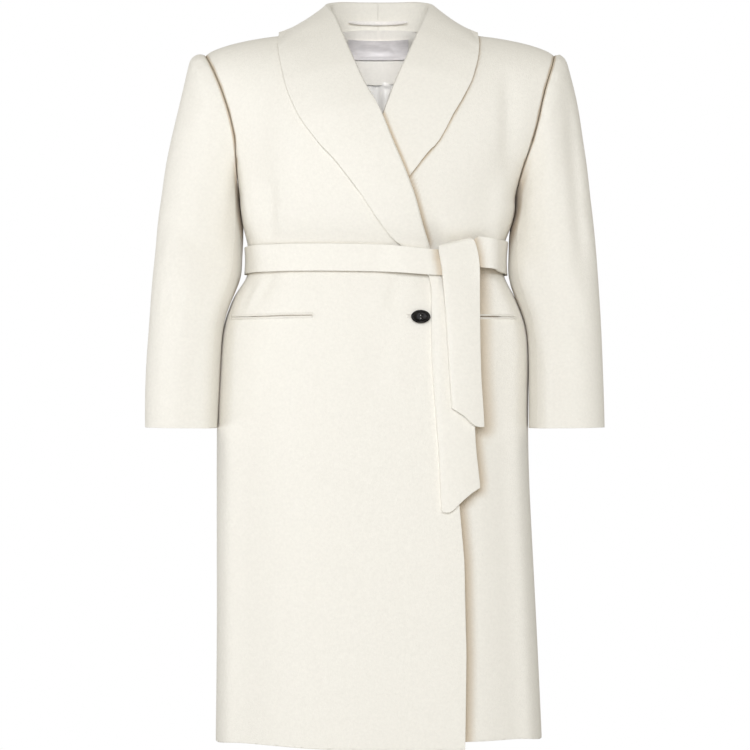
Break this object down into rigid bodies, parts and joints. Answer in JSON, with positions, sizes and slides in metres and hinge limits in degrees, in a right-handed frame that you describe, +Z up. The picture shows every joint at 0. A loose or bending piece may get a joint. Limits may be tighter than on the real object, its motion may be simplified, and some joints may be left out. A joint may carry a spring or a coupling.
{
  "type": "wrap coat",
  "caption": "Long belted wrap coat in thick off-white wool, with a shawl collar, jetted pockets and cropped sleeves, hollow as worn.",
  "frame": {"origin": "middle of the neck opening at the height of the shoulder seams, where the wearer's neck and shoulders hold the coat up", "axes": "+X towards the wearer's left, -Y out of the front, +Z up"},
  "size_m": [0.6559, 0.3263, 1.0741],
  "materials": {
    "wool": "napped wool coating, off-white",
    "belt_wool": "napped wool coating, off-white, two layers pressed",
    "facing_wool": "smooth-pressed wool, off-white",
    "lining_satin": "soft satin, pale silver-beige",
    "label_satin": "plain satin, pale grey, bare",
    "loop_cord": "matte covered cord, off-white",
    "button_horn": "polished black-brown"
  },
  "bodies": {
    "root": {"back_left": "wool", "back_right": "wool", "front_right": "wool", "front_left": "wool", "top_sleeve_right": "wool", "under_sleeve_right": "wool", "top_sleeve_left": "wool", "under_sleeve_left": "wool", "collar_right": "wool", "collar_left": "wool", "pocket_upper_lip_right": "wool", "pocket_lower_lip_right": "wool", "pocket_upper_lip_left": "wool", "pocket_lower_lip_left": "wool", "buttonhole": "wool", "belt_wrap": "belt_wool", "belt_upper_end": "belt_wool", "belt_lower_end": "belt_wool", "back_neck_facing": "facing_wool", "back_lining": "lining_satin", "label": "label_satin", "hanger_loop": "loop_cord", "button": "button_horn"}
  },
  "joints": []
}
